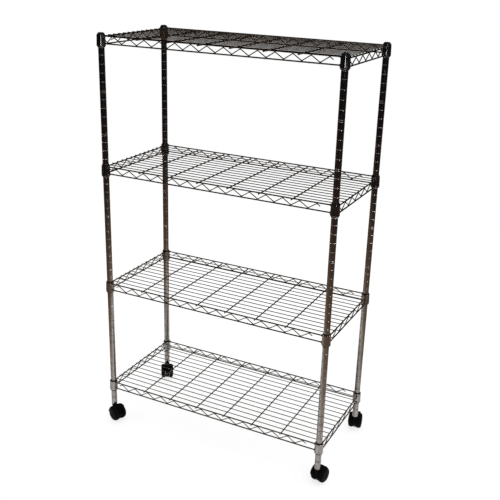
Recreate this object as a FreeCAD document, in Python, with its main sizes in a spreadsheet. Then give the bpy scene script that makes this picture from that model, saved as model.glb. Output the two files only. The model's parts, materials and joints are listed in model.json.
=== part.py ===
"""Wire shelf cart: four grooved posts, four wire shelves and four twin-wheel casters.

Millimetres. The origin is on the floor, midway between the four posts.
+X runs along the shelves, +Y to the back and +Z up.
"""
import FreeCAD, Part
import math
import os
import Sketcher

os.makedirs("parts", exist_ok=True)
doc = FreeCAD.newDocument("wire_shelf_cart")

# ---------------------------------------------------------------- driving sizes
sheet = doc.addObject("Spreadsheet::Sheet", "dims")
SIZES = [
    ("post_span_x", 739.0, "distance between post axes along the shelf"),
    ("post_span_y", 328.0, "distance between post axes, front to back"),
    ("post_lift", 4.0, "posts' lower ends over the tops of the caster wheels"),
    ("post_dia", 18.5, "outside diameter of the post tube"),
    ("post_wall", 1.2, "wall of the post tube"),
    ("groove_step", 25.4, "distance from one groove to the next"),
    ("groove_first", 30.4, "lowest groove over the post's lower end"),
    ("groove_count", 47, "single grooves in a post"),
    ("groove_depth", 0.45, "depth of a groove"),
    ("groove_width", 1.8, "width of a groove"),
    ("twin_offset", 5.0, "second groove of each pair, below the first"),
    ("post_head", 33.5, "post above the top shelf's base"),
    ("bottom_level", 1, "groove under the bottom shelf's collars"),
    ("lower_level", 15, "groove under the lower shelf's collars"),
    ("upper_level", 30, "groove under the upper shelf's collars"),
    ("top_level", 45, "groove under the top shelf's collars"),
    ("collar_height", 31.5, "height of a corner collar"),
    ("collar_wall", 1.8, "wall of a collar"),
    ("clip_low_wall", 2.07, "wall of a clip at the shelf's base"),
    ("clip_top_wall", 1.27, "wall of a clip at the collar's upper edge"),
    ("clip_gap", 0.1, "gap between a clip and the post"),
    ("collar_gap", 0.08, "gap between a clip and its collar"),
    ("clip_top", 35.0, "upper end of a clip over the shelf's base"),
    ("clip_drop", 3.2, "lower end of a clip below the shelf's base"),
    ("rim_dia", 4.0, "rim wire"),
    ("cross_dia", 3.6, "wire across the shelf, under the deck"),
    ("deck_dia", 2.5, "deck wire"),
    ("truss_dia", 2.8, "zigzag wire"),
    ("rim_out", 5.0, "rim wires outside the line of post axes"),
    ("rim_low", 7.5, "lower front rim wire over the shelf's base"),
    ("rim_rise", 21.0, "upper rim wire over the lower one"),
    ("layer_drop", 4.0, "side rims below front and back rims"),
    ("deck_count", 13, "deck wires between the front and back rims"),
    ("cross_short", 2.0, "distance between cross wires, less than two zigzags"),
    ("truss_step", 50.0, "wished length of one zigzag"),
    ("truss_room", 31.2, "from a collar to the front truss's outer bend"),
    ("truss_stub", 10.0, "front truss beyond its outer bend, along the shelf"),
    ("side_room", 23.2, "from a collar to the side truss's outer bend"),
    ("side_stub", 21.0, "side truss beyond its outer bend, along the shelf"),
    ("bottom_truss_shift", -6.0, "front and back trusses off the middle, bottom shelf"),
    ("lower_truss_shift", -6.0, "front and back trusses off the middle, lower shelf"),
    ("upper_truss_shift", -6.0, "front and back trusses off the middle, upper shelf"),
    ("top_truss_shift", 5.0, "front and back trusses off the middle, top shelf"),
    ("truss_bend", 5.0, "bend radius of the zigzag, on its centre line"),
    ("weld_gap", 0.02, "gap left between wires that are welded together"),
    ("wheel_dia", 48.0, "caster wheel"),
    ("wheel_offset", 17.0, "axle behind the swivel axis"),
    ("caster_width", 44.0, "across both wheels of a caster"),
    ("axle_dia", 6.0, "caster axle"),
    ("stem_dia", 8.0, "stem in the caster's boss"),
    ("boss_wall", 3.0, "wall of the boss round the stem"),
    ("boss_gap", 0.6, "gap between the boss and each wheel"),
]
for row, (alias, number, words) in enumerate(SIZES, start=1):
    sheet.set("A%d" % row, words)
    sheet.set("B%d" % row, str(number))
    sheet.setAlias("B%d" % row, alias)
doc.recompute()

SCRATCH = "D1"  # one cell that works out an expression


def value(expression):
    """The number that an expression over the sheet gives now."""
    sheet.set(SCRATCH, "=" + str(expression).replace("dims.", ""))
    sheet.recompute()
    return float(sheet.get(SCRATCH))


def drive(thing, **expressions):
    """Tie properties to expressions; position_x stands for Placement.Base.x."""
    for name, expression in expressions.items():
        name = name.replace("position_", "Placement.Base.")
        thing.setExpression(name, str(expression))
    return thing


# ---------------------------------------------------------------- building helpers
def profile(body, label, points):
    """A closed outline in the body's XZ plane, each corner held by two sizes."""
    sketch = body.newObject("Sketcher::SketchObject", label)
    sketch.AttachmentSupport = (body.Origin.OriginFeatures[4], [""])
    sketch.MapMode = "FlatFace"
    corners = [FreeCAD.Vector(value(u), value(v), 0) for u, v in points]
    count = len(corners)
    for i in range(count):
        sketch.addGeometry(Part.LineSegment(corners[i], corners[(i + 1) % count]), False)
    for i in range(count):
        sketch.addConstraint(Sketcher.Constraint("Coincident", i, 2, (i + 1) % count, 1))
    for i, (u, v) in enumerate(points):
        for kind, axis, expression, number in (
            ("DistanceX", -2, u, corners[i].x),
            ("DistanceY", -1, v, corners[i].y),
        ):
            if str(expression) == "0":
                sketch.addConstraint(Sketcher.Constraint("PointOnObject", i, 1, axis))
            else:
                at = sketch.addConstraint(Sketcher.Constraint(kind, -1, 1, i, 1, number))
                sketch.setExpression("Constraints[%d]" % at, str(expression))
    return sketch


def turned(label, points):
    """A body turned about its own Z axis from an outline of (radius, height) corners."""
    body = doc.addObject("PartDesign::Body", label)
    sketch = profile(body, label + "_outline", points)
    turn = body.newObject("PartDesign::Revolution", label + "_turn")
    turn.Profile = sketch
    turn.ReferenceAxis = (sketch, ["V_Axis"])
    turn.Angle = 360
    body.Tip = turn
    return body


def ring_cut(body, label, points, step, count):
    """Turn a groove into a body and repeat it upwards."""
    sketch = profile(body, label + "_outline", points)
    cut = body.newObject("PartDesign::Groove", label)
    cut.Profile = sketch
    cut.ReferenceAxis = (sketch, ["V_Axis"])
    cut.Angle = 360
    body.Tip = cut
    repeat = body.newObject("PartDesign::LinearPattern", label + "_row")
    repeat.Originals = [cut]
    repeat.Direction = (body.Origin.OriginFeatures[2], [""])
    repeat.setExpression("Length", "(%s) * (%s - 1)" % (step, count))
    repeat.setExpression("Occurrences", str(count))
    body.Tip = repeat
    return repeat


AXES = {
    "x": FreeCAD.Rotation(FreeCAD.Vector(0, 1, 0), 90),
    "y": FreeCAD.Rotation(FreeCAD.Vector(1, 0, 0), 90),
    "z": FreeCAD.Rotation(),
}


def rod(label, radius, length, along="z", start=0.0, sweep=360.0, at=("0", "0", "0")):
    """A cylinder from `at`: to +X, to -Y or to +Z. A sweep starts at angle `start`."""
    thing = doc.addObject("Part::Cylinder", label)
    thing.Angle = sweep
    turn = FreeCAD.Rotation(FreeCAD.Vector(0, 0, 1), start)
    thing.Placement = FreeCAD.Placement(FreeCAD.Vector(), AXES[along].multiply(turn))
    drive(thing, Radius=radius, Height=length, position_x=at[0], position_y=at[1], position_z=at[2])
    return thing


def compound(label, things):
    group = doc.addObject("Part::Compound", label)
    group.Links = things
    return group


def joined(label, things):
    result = doc.addObject("Part::MultiFuse", label)
    result.Shapes = things
    return result


def less(label, base, tool):
    result = doc.addObject("Part::Cut", label)
    result.Base, result.Tool = base, tool
    return result


def mirrored(label, source, normal):
    result = doc.addObject("Part::Mirroring", label)
    result.Source = source
    result.Normal = FreeCAD.Vector(*normal)
    return result


def both_ends(label, thing, normal):
    """A thing and its mirror image in one compound."""
    return compound(label, [thing, mirrored(label + "_mirror", thing, normal)])


def four_corners(label, thing):
    """A thing drawn at the right back corner, repeated at the other three."""
    return both_ends(label, both_ends(label + "_pair", thing, (1, 0, 0)), (0, 1, 0))


def bent_wire(label, points, bend, radius):
    """A round wire along a bent line, with every inner corner rounded."""
    edges, here = [], points[0]
    for before, corner, after in zip(points, points[1:], points[2:]):
        back, ahead = (before - corner).normalize(), (after - corner).normalize()
        half = back.getAngle(ahead) / 2
        reach = bend / math.tan(half)
        start, end = corner + back * reach, corner + ahead * reach
        inward = (back + ahead).normalize()
        middle = corner + inward * (bend / math.sin(half) - bend)
        edges.append(Part.makeLine(here, start))
        edges.append(Part.Arc(start, middle, end).toShape())
        here = end
    edges.append(Part.makeLine(here, points[-1]))
    spine = Part.Wire(edges)
    circle = Part.Wire([Part.makeCircle(radius, points[0], points[1] - points[0])])
    thing = doc.addObject("Part::Feature", label)
    thing.Shape = spine.makePipeShell([circle], True, True)
    return thing


NODES = []


def node(label, thing, **expressions):
    """A named piece of the cart: `thing` put in its place."""
    piece = compound(label, [thing])
    drive(piece, **expressions)
    NODES.append(piece)
    return piece


# ---------------------------------------------------------------- posts and caps
HALF_X, HALF_Y = "dims.post_span_x / 2", "dims.post_span_y / 2"
FOOT = "(dims.wheel_dia + dims.post_lift)"
POST_R = "dims.post_dia / 2"
BORE_R = "(dims.post_dia / 2 - dims.post_wall)"
POST_LENGTH = "(dims.groove_first + dims.top_level * dims.groove_step + dims.post_head)"
CORNERS = {
    "front_left": (-1, -1),
    "front_right": (1, -1),
    "back_left": (-1, 1),
    "back_right": (1, 1),
}


def notch(height):
    """Corners of a V-shaped groove whose middle is at a height on the post."""
    return [
        (POST_R + " - dims.groove_depth", height),
        (POST_R + " + 0.2", "%s - dims.groove_width * 0.72" % height),
        (POST_R + " + 0.2", "%s + dims.groove_width * 0.72" % height),
    ]


post = turned("post", [
    (BORE_R, "0"), (POST_R, "0"), (POST_R, POST_LENGTH), (BORE_R, POST_LENGTH),
])
ring_cut(post, "grooves", notch("dims.groove_first"), "dims.groove_step", "dims.groove_count")
ring_cut(post, "twin_grooves", notch("(dims.groove_first - dims.twin_offset)"),
         "5 * dims.groove_step", "ceil(dims.groove_count / 5)")

for name, (sx, sy) in CORNERS.items():
    node("post_" + name, post, position_x="%d * %s" % (sx, HALF_X),
         position_y="%d * %s" % (sy, HALF_Y), position_z=FOOT)

cap = turned("cap", [
    ("0", "-10"), (BORE_R + " - 0.15", "-10"), (BORE_R + " - 0.15", "0.05"),
    (POST_R, "0.05"), (POST_R, "1.4"), (POST_R + " - 0.6", "2.8"),
    (POST_R + " - 2.4", "3.8"), ("0", "4.2"),
])
drive(cap, position_x=HALF_X, position_y=HALF_Y)
node("post_caps", four_corners("caps", cap), position_z=FOOT + " + " + POST_LENGTH)

socket = turned("socket", [
    ("5", "0.2"), (BORE_R + " - 0.1", "0.2"), (BORE_R + " - 0.1", "28"), ("5", "28"),
])
drive(socket, position_x=HALF_X, position_y=HALF_Y)
node("caster_sockets", four_corners("sockets", socket), position_z=FOOT)

# ---------------------------------------------------------------- one shelf, its base at zero
COLLAR_LOW, COLLAR_TOP = (
    "(%s + dims.clip_gap + dims.clip_%s_wall + dims.collar_gap + dims.collar_wall)" % (POST_R, end)
    for end in ("low", "top"))
collar = turned("collar", [
    (COLLAR_LOW + " - dims.collar_wall", "0"), (COLLAR_LOW + " - 0.3", "0"),
    (COLLAR_LOW, "0.5"), (COLLAR_TOP, "dims.collar_height - 0.6"),
    (COLLAR_TOP + " - 0.4", "dims.collar_height"),
    (COLLAR_TOP + " - dims.collar_wall", "dims.collar_height"),
])
drive(collar, position_x=HALF_X, position_y=HALF_Y)
collar_set = four_corners("collars", collar)

# The clip is a tapered sleeve in two halves. Its inner rib sits in the second
# groove over the shelf's base, and the collar wedges down over it.
SEAT = "dims.groove_step"
CLIP_IN = POST_R + " + dims.clip_gap"
clip = turned("clip", [
    (CLIP_IN, "-dims.clip_drop"),
    (CLIP_IN + " + dims.clip_low_wall", "-dims.clip_drop"),
    (CLIP_IN + " + dims.clip_low_wall", "0"),
    (CLIP_IN + " + dims.clip_top_wall", "dims.collar_height"),
    (CLIP_IN + " + dims.clip_top_wall", "dims.clip_top"),
    (CLIP_IN, "dims.clip_top"),
    (CLIP_IN, SEAT + " + 0.6"),
    (POST_R + " - 0.28", SEAT),
    (CLIP_IN, SEAT + " - 0.6"),
])
saw = doc.addObject("Part::Box", "saw")
saw.Placement.Rotation = FreeCAD.Rotation(FreeCAD.Vector(0, 0, 1), 0)
drive(saw, Length="dims.post_dia * 3", Width="0.6", Height="dims.clip_top * 2",
      position_x="-dims.post_dia * 1.5", position_y="-0.3", position_z="-dims.clip_top / 2")
halves = less("clip_halves", clip, saw)
drive(halves, position_x=HALF_X, position_y=HALF_Y)
clip_set = four_corners("clips", halves)

# Rim wires: an upper and a lower one on each side, ending on the collars.
mouth = doc.addObject("Part::Cone", "mouth")
drive(mouth, Radius1=COLLAR_LOW + " + 0.12", Radius2=COLLAR_TOP,
      Height="dims.collar_height + 4", position_x=HALF_X, position_y=HALF_Y, position_z="-2")
mouths = four_corners("mouths", mouth)
RIM_R = "dims.rim_dia / 2"
FRONT_Y = "(dims.post_span_y / 2 + dims.rim_out)"
SIDE_X = "(dims.post_span_x / 2 + dims.rim_out)"
rims = []
for name, height in (("lower", "dims.rim_low"), ("upper", "dims.rim_low + dims.rim_rise")):
    front = rod("rim_front_" + name, RIM_R, "dims.post_span_x", "x",
                at=("-dims.post_span_x / 2", "-" + FRONT_Y, height))
    side = rod("rim_side_" + name, RIM_R, "dims.post_span_y", "y",
               at=(SIDE_X, HALF_Y, height + " - dims.layer_drop"))
    rims.append(both_ends("rims_front_back_" + name, front, (0, 1, 0)))
    rims.append(both_ends("rims_sides_" + name, side, (1, 0, 0)))
rim_set = less("rims", compound("rims_full", rims), mouths)

# Cross wires lie under the front and back rims, deck wires on top of them.
CROSS_Z = "(dims.rim_low + dims.rim_rise - dims.rim_dia / 2 - dims.cross_dia / 2 - dims.weld_gap)"
DECK_Z = "(%s + dims.cross_dia / 2 + dims.deck_dia / 2 + dims.weld_gap)" % CROSS_Z
# They keep step with the zigzags of the front truss, so that each one passes between its
# high bends. The front truss has an odd number of zigzags between its outer bends.
front_span = value("dims.post_span_x") - 2 * value(COLLAR_LOW + " + dims.truss_room")
front_zigzags = 2 * round((front_span / value("dims.truss_step") - 1) / 2) + 1
front_step = front_span / front_zigzags
cross_step = 2 * front_step - value("dims.cross_short")
cross_count = 2 * round((value("dims.post_span_x") - 100) / cross_step / 2)
crosses = []
for i in range(cross_count):
    crosses.append(rod(
        "cross_%02d" % (i + 1), "dims.cross_dia / 2", "2 * %s + dims.rim_dia" % FRONT_Y, "y",
        at=(cross_step * (i - (cross_count - 1) / 2),
            FRONT_Y + " + dims.rim_dia / 2", CROSS_Z)))
cross_set = compound("crosses", crosses)

deck_count = int(value("dims.deck_count"))
decks = []
for i in range(deck_count):
    decks.append(rod(
        "deck_%02d" % (i + 1), "dims.deck_dia / 2", "2 * %s + dims.rim_dia" % SIDE_X, "x",
        at=("-%s - dims.rim_dia / 2" % SIDE_X,
            "%s * 2 * %s / (dims.deck_count + 1)" % (i - (deck_count - 1) / 2, FRONT_Y), DECK_Z)))
deck_set = compound("decks", decks)


# Zigzag wires stand between the upper and the lower rim wire, one on each side of the
# shelf. Their bends touch the rims, where they are welded.
def zigzag(label, span, step, first, height, stub, place):
    """A truss wire with `span` between its outer bends, which are `first`: "high" or "low".

    `height` is the lower rim wire's. The ends run on by `stub`, and `place` maps
    (along, up) to a point.
    """
    bend = value("dims.truss_bend")
    room = value("dims.rim_rise - dims.rim_dia - dims.truss_dia - 2 * dims.weld_gap")
    rise = room
    for _ in range(30):  # the corners before they are rounded lie a little further apart
        rise = room + 2 * bend * (math.hypot(1, 2 * rise / step) - 1)
    middle = height + value("dims.rim_rise / 2")
    up = rise / 2 if first == "high" else -rise / 2
    end = up - 2 * up * stub / (step / 2)
    points = [place(-span / 2 - stub, middle + end)]
    for i in range(round(span / step)):
        points.append(place(-span / 2 + i * step, middle + up))
        points.append(place(-span / 2 + (i + 0.5) * step, middle - up))
    points.append(place(span / 2, middle + up))
    points.append(place(span / 2 + stub, middle + end))
    return bent_wire(label, points, bend, value("dims.truss_dia / 2"))


front_line, side_line = -value(FRONT_Y), value(SIDE_X)
front_truss = zigzag(
    "truss_front", front_span, front_step, "high", value("dims.rim_low"),
    value("dims.truss_stub"), lambda along, up: FreeCAD.Vector(along, front_line, up))
side_span = value("dims.post_span_y") - 2 * value(COLLAR_LOW + " + dims.side_room")
side_truss = zigzag(
    "truss_side", side_span, side_span / max(2, round(side_span / value("dims.truss_step"))),
    "low", value("dims.rim_low - dims.layer_drop"), value("dims.side_stub"),
    lambda along, up: FreeCAD.Vector(side_line, along, up))
front_trusses = both_ends("trusses_front_back", front_truss, (0, 1, 0))
side_trusses = both_ends("trusses_sides", side_truss, (1, 0, 0))

for shelf in ("bottom", "lower", "upper", "top"):
    shifted = compound(shelf + "_shifted_trusses", [front_trusses])
    drive(shifted, position_x="dims.%s_truss_shift" % shelf)
    truss_set = compound(shelf + "_trusses", [shifted, side_trusses])
    base = FOOT + " + dims.groove_first + dims.%s_level * dims.groove_step" % shelf
    for name, thing in (
        ("rim_wires", rim_set), ("truss_wires", truss_set), ("deck_wires", deck_set),
        ("cross_wires", cross_set), ("corner_collars", collar_set), ("post_clips", clip_set),
    ):
        node("%s_shelf_%s" % (shelf, name), thing, position_z=base)

# ---------------------------------------------------------------- one caster, swivel axis at zero
# The caster's wheels trail along +X, its axle lies along Y.
WHEEL_R = "dims.wheel_dia / 2"
STEM_R = "dims.stem_dia / 2"
HOOD_TOP = "(%s - 2)" % FOOT
BOSS_LOW = "(dims.wheel_dia / 2 - 6)"
BOSS_R = STEM_R + " + dims.boss_wall"
INNER = "(%s + dims.boss_gap)" % BOSS_R  # inner plane of each wheel, from the caster's middle

stem = turned("stem", [
    ("0", BOSS_LOW + " - 4"), (STEM_R + " + 0.2", BOSS_LOW + " - 4"),
    (STEM_R + " + 0.8", BOSS_LOW + " - 3.2"), (STEM_R + " + 0.8", BOSS_LOW + " - 0.4"),
    (STEM_R, BOSS_LOW + " - 0.4"), (STEM_R, HOOD_TOP + " + 0.3"),
    ("7.5", HOOD_TOP + " + 0.3"), ("7.5", FOOT + " - 0.1"),
    ("4.9", FOOT + " - 0.1"), ("4.9", FOOT + " + 25.2"),
    ("4.1", FOOT + " + 26"), ("0", FOOT + " + 26"),
])

OUTER = "dims.caster_width / 2"
wheel = turned("wheel", [
    ("dims.axle_dia / 2 + 0.05", INNER), ("7", INNER), ("7", "16"),
    (WHEEL_R + " - 5", "16"), (WHEEL_R + " - 4.4", INNER), (WHEEL_R + " - 1.4", INNER),
    (WHEEL_R, INNER + " + 1.6"), (WHEEL_R, OUTER + " - 3.4"), (WHEEL_R + " - 0.5", OUTER + " - 2.2"),
    (WHEEL_R + " - 1.7", OUTER + " - 1.2"), ("13", OUTER + " - 0.3"), ("0", OUTER),
    ("0", OUTER + " - 1.6"), ("dims.axle_dia / 2 + 0.05", OUTER + " - 1.6"),
])

axle = rod("axle", "dims.axle_dia / 2", "dims.caster_width - 4", "y",
           at=("dims.wheel_offset", "dims.caster_width / 2 - 2", WHEEL_R))


def about_axle(label, radius, width, start=0.0, sweep=360.0):
    """A cylinder or sector of one, round the axle and centred between the wheels."""
    return rod(label, radius, width, "y", start, sweep,
               at=("dims.wheel_offset", "(%s) / 2" % width, WHEEL_R))


SHELL_IN, SHELL_OUT = WHEEL_R + " + 0.6", WHEEL_R + " + 2"
shell = less("shell", about_axle("shell_out", SHELL_OUT, "dims.caster_width - 2", 64, 112),
             about_axle("shell_in", SHELL_IN, "dims.caster_width + 2"))
web = joined("web", [
    about_axle("web_disc", WHEEL_R + " - 4", "8"),
    about_axle("web_top", WHEEL_R + " + 1.2", "8", 64, 112),
    rod("boss", BOSS_R, "%s - %s" % (HOOD_TOP, BOSS_LOW), at=("0", "0", BOSS_LOW)),
    rod("neck", STEM_R + " + 4.5", "5", at=("0", "0", HOOD_TOP + " - 5")),
])
PIN_X, PIN_Z = "dims.wheel_offset + dims.wheel_dia / 4", "dims.wheel_dia / 2 + 13"
holes = compound("hood_holes", [
    rod("stem_bore", STEM_R + " + 0.08", "80"),
    rod("stem_room", STEM_R + " + 1.4", BOSS_LOW),
    about_axle("axle_hole", "dims.axle_dia / 2 + 0.02", "60"),
])
hood_blank = joined("hood_blank", [shell, web])
hood = less("hood", hood_blank, holes)
brake_hole = rod("brake_hole", "1.56", "60", "y", at=(PIN_X, "30", PIN_Z))
hood_braked = less("hood_braked", hood, brake_hole)

# The brake lever saddles the web; its shoe is just off the treads until it's pressed.
saddle = less("saddle", about_axle("saddle_out", WHEEL_R + " + 3.2", "31", 33, 26),
              about_axle("saddle_in", WHEEL_R + " + 1.3", "40"))
tab = less("tab", about_axle("tab_out", WHEEL_R + " + 7", "27", 55, 4.5),
           about_axle("tab_in", WHEEL_R + " + 2.6", "40"))
cheek_block = less("cheek_block", about_axle("cheek_out", WHEEL_R + " + 2.4", "13.8", 36, 22),
                   about_axle("cheek_in", WHEEL_R + " - 11", "40"))
slot = about_axle("cheek_slot", WHEEL_R, "8.8")
lever_raw = joined("lever_raw", [saddle, tab, less("cheeks", cheek_block, slot)])
lever_hole = rod("lever_hole", "1.52", "60", "y", at=(PIN_X, "30", PIN_Z))
lever = less("lever", lever_raw, lever_hole)
pin = rod("pin", "1.5", "13.6", "y", at=(PIN_X, "6.8", PIN_Z))

wheel_turns = {"a": FreeCAD.Rotation(FreeCAD.Vector(1, 0, 0), 90),
               "b": FreeCAD.Rotation(FreeCAD.Vector(1, 0, 0), -90)}
wheels = {}
for side, turn in wheel_turns.items():
    wheels[side] = compound("wheel_on_axle_" + side, [wheel])
    wheels[side].Placement = FreeCAD.Placement(FreeCAD.Vector(), turn)
    drive(wheels[side], position_x="dims.wheel_offset", position_z=WHEEL_R)

# Where each caster points at rest: the direction its wheels trail, from +X.
TRAILS = {"front_left": 340, "front_right": 80, "back_left": 303, "back_right": 100}
BRAKED = ("back_left", "back_right")
for name, (sx, sy) in CORNERS.items():
    pieces = [("stem", stem), ("hood", hood_braked if name in BRAKED else hood),
              ("axle", axle), ("wheel_a", wheels["a"]), ("wheel_b", wheels["b"])]
    if name in BRAKED:
        pieces += [("brake_lever", lever), ("brake_pin", pin)]
    for piece, thing in pieces:
        made = node("caster_%s_%s" % (name, piece), thing)
        made.Placement.Rotation = FreeCAD.Rotation(FreeCAD.Vector(0, 0, 1), TRAILS[name])
        drive(made, position_x="%d * %s" % (sx, HALF_X), position_y="%d * %s" % (sy, HALF_Y))

# ---------------------------------------------------------------- check and write
doc.recompute()
for thing in doc.Objects:
    if {"Invalid", "Error"} & set(thing.State):
        raise RuntimeError("%s didn't build: %s" % (thing.Label, thing.State))
for piece in NODES:
    if piece.Shape.isNull() or not piece.Shape.isValid():
        raise RuntimeError("%s has no valid shape" % piece.Label)
    piece.Shape.exportStep("parts/%s.step" % piece.Label)
    print("%-34s solids %2d  volume %10.1f" % (
        piece.Label, len(piece.Shape.Solids), piece.Shape.Volume))
print("pieces written:", len(NODES))
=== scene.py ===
# %% [markdown]
# # A wire shelf cart on casters
# Four grooved tube posts carry four shelves of welded wire. Each shelf has a collar at
# every corner, which wedges onto a split plastic clip, and each post ends in a caster
# with twin wheels. The exact solids come from the CAD model, which these cells load as a
# fixed frame. They give every surface its finish, model the casters' wheels and hoods
# again with the domes and lips of moulded ones, and add what shows only from near by:
# weld beads, fillets and the ribs of the brake levers.

# %% Load the CAD model
import json
import math

import bpy
from mathutils import Matrix, Vector


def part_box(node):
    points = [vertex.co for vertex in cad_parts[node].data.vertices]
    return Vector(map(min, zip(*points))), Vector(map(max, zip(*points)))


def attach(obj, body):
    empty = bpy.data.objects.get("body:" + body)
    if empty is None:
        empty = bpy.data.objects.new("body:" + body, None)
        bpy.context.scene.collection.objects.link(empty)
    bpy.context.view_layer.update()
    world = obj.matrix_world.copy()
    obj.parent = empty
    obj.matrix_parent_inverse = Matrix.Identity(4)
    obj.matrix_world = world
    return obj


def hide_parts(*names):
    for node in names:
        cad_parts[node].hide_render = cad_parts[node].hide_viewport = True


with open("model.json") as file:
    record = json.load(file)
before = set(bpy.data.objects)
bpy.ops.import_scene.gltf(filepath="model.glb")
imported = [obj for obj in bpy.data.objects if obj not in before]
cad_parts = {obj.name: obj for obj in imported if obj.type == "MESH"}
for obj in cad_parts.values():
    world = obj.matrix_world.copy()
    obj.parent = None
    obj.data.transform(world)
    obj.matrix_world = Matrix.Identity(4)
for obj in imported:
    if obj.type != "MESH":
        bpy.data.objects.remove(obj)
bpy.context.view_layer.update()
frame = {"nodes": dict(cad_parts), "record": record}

nodes = frame["nodes"]

# %% [markdown]
# ## Shaders written as calls
# A shader is a tree of nodes. It could be wired up in the node editor, but in code it
# reads better when each node is one call that takes the outputs it depends on. These
# helpers serve the paper, the room and every finish of the cart.

# %% Shader helpers
NODE_SPACING = 190  # between one node and the next in the editor


class Tree:
    """A node tree that is written as calls: add a node, link outputs to its inputs."""

    def __init__(self, tree):
        self.tree, self.column = tree, 0

    def add(self, kind, values=None):
        """A new node. A value goes to the node's setting of that name, or to its socket."""
        made = self.tree.nodes.new(kind)
        made.location = (self.column, 0)
        self.column += NODE_SPACING
        for name, value in (values or {}).items():
            if hasattr(made, name):
                setattr(made, name, value)
            else:
                made.inputs[name].default_value = value
        return made

    def link(self, source, target):
        self.tree.links.new(source, target)

    def fill(self, socket, value):
        """Set a socket to a number or a colour, or link an output to it."""
        if isinstance(value, (int, float, tuple)):
            socket.default_value = value
        else:
            self.link(value, socket)


def emptied(owner):
    """The tree of a material or world that is about to be written from nothing."""
    owner.use_nodes = True
    owner.node_tree.nodes.clear()
    return Tree(owner.node_tree)


def ranged(tree, source, low, high, start=0.0, end=1.0, smooth=True):
    """source, stretched from low..high to start..end; start and end may be outputs."""
    made = tree.add("ShaderNodeMapRange", {
        "interpolation_type": "SMOOTHSTEP" if smooth else "LINEAR", "From Min": low, "From Max": high})
    tree.link(source, made.inputs["Value"])
    tree.fill(made.inputs["To Min"], start)
    tree.fill(made.inputs["To Max"], end)
    return made.outputs["Result"]


def noise(tree, vector, scale, detail=2.0, rough=0.5):
    """Cloudy noise from 0 to 1; its scale may be an output."""
    made = tree.add("ShaderNodeTexNoise", {"Detail": detail, "Roughness": rough})
    tree.link(vector, made.inputs["Vector"])
    tree.fill(made.inputs["Scale"], scale)
    return made.outputs["Fac"]


def maths(tree, operation, a, b):
    made = tree.add("ShaderNodeMath", {"operation": operation})
    tree.fill(made.inputs[0], a)
    tree.fill(made.inputs[1], b)
    return made.outputs["Value"]


def blended(tree, factor, a, b):
    """Colour a where factor is 0, b where it is 1."""
    made = tree.add("ShaderNodeMix", {"data_type": "RGBA"})
    for name, value in (("Factor_Float", factor), ("A_Color", a), ("B_Color", b)):
        tree.fill(next(s for s in made.inputs if s.identifier == name), value)
    return next(s for s in made.outputs if s.identifier == "Result_Color")


def ramp_of(tree, source, stops):
    """A colour ramp over source, from a list of (place, colour)."""
    made = tree.add("ShaderNodeValToRGB")
    elements = made.color_ramp.elements
    while len(elements) < len(stops):
        elements.new(0.5)
    for element, (place, colour) in zip(elements, stops):
        element.position = place
    for element, (place, colour) in zip(elements, stops):
        element.color = (*colour, 1.0)
    tree.link(source, made.inputs["Fac"])
    return made.outputs["Color"]


print("shader helpers ready")

# %% [markdown]
# ## The paper
# A cart like this is shown on a seamless sheet of pale paper. The sheet is a circle that
# fades out towards its rim, so that there's no horizon. A curved backdrop would also do,
# but its shade would change with the height of the camera.

# %% Paper sheet
PAPER_RADIUS = 3.2
PAPER_BRIGHT = 2.3  # radius where the paper starts to fade
PAPER_GONE = 3.1

scene = bpy.context.scene
scene.view_settings.view_transform = "Standard"
scene.view_settings.look = "None"


def deselect():
    """Leave edit mode with nothing selected, so that an operator acts on one piece only."""
    if bpy.context.object and bpy.context.object.mode != "OBJECT":
        bpy.ops.object.mode_set(mode="OBJECT")
    bpy.ops.object.select_all(action="DESELECT")


deselect()
bpy.ops.mesh.primitive_circle_add(vertices=96, radius=PAPER_RADIUS, fill_type="NGON")
paper = bpy.context.object
paper.name = "paper"
print("paper:", len(paper.data.vertices), "vertices, fades from", PAPER_BRIGHT, "to", PAPER_GONE, "m")

# %% [markdown]
# Chrome shows nothing but its surroundings, so the paper has two looks. The camera sees
# it nearly white, with only faint shadows. Metal sees a painted pool of light that falls off
# into brown, as in a dim studio with one bright spot, and a painted shadow of the cart
# darkens its middle. A real softbox could light such a pool, but it would show in every
# post as well, so the paper's shader picks its look by the kind of ray.

# %% Paper look
PAPER_WHITE = (0.86, 0.90)  # the paper's own tone, between its darker and paler fibres
PAPER_LIT = 0.24  # share of that tone that lamps and shadows act on where the camera looks
PAPER_GLOW = 0.79  # how bright the paper is by itself where the camera looks
FIBRE_SCALE = 220.0
# This pool is painted light: its two inner, darker colours are a painted shadow of the cart on the paper
# beneath it, and the rest is a painted pool of light that fades into brown.
PAINTED_POOL = [  # the pool of light on the paper as metal shows it, from the middle outwards
    (0.03, (0.17, 0.155, 0.145)), (0.09, (0.40, 0.375, 0.355)), (0.13, (0.62, 0.585, 0.56)),
    (0.175, (0.50, 0.465, 0.44)), (0.235, (0.33, 0.280, 0.235)), (0.31, (0.195, 0.148, 0.110)),
    (0.43, (0.112, 0.076, 0.052)), (0.62, (0.078, 0.051, 0.036)), (0.85, (0.036, 0.024, 0.018)),
]

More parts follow.
